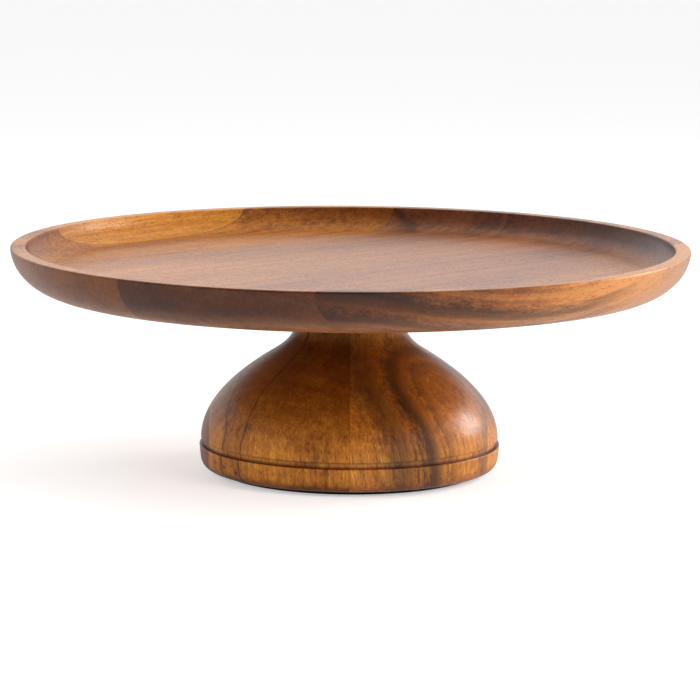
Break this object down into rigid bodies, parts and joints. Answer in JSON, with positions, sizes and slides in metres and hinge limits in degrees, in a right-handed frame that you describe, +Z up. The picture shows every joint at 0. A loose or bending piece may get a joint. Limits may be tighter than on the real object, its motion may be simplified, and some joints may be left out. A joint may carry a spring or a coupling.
{
  "type": "footed cake stand",
  "caption": "Round shallow wooden plate with a raised rim, bolted to a domed turned pedestal with a rubber foot pad; the plate lifts off its dowels.",
  "frame": {"origin": "centre of the underside of the foot pad, where the stand rests", "axes": "+Z up along the axis of the pedestal and plate, +X to the right and -Y towards the viewer; the plate's boards run at 45 degrees, from front left to back right"},
  "size_m": [0.305, 0.305, 0.103],
  "materials": {
    "plate_wood": "satin lacquered acacia",
    "pedestal_wood": "satin lacquered acacia",
    "pad_rubber": "matt black",
    "zinc_steel": "zinc plated",
    "insert_brass": "plain turned",
    "dowel_wood": "unfinished beech"
  },
  "bodies": {
    "pedestal": {"pedestal_stave_1": "pedestal_wood", "pedestal_stave_2": "pedestal_wood", "pedestal_stave_3": "pedestal_wood", "pedestal_stave_4": "pedestal_wood", "foot_pad": "pad_rubber", "fixing_bolt": "zinc_steel", "bolt_washer": "zinc_steel", "dowel_pin_left": "dowel_wood", "dowel_pin_right": "dowel_wood"},
    "plate": {"plate_board_1": "plate_wood", "plate_board_2": "plate_wood", "plate_board_3": "plate_wood", "plate_board_4": "plate_wood", "plate_board_5": "plate_wood", "plate_board_6": "plate_wood", "plate_board_7": "plate_wood", "threaded_insert": "insert_brass"}
  },
  "joints": [
    {"name": "plate_lift", "type": "slide", "parent": "pedestal", "child": "plate", "axis": [0, 0, 1], "range_m": [0, 0.03]}
  ]
}
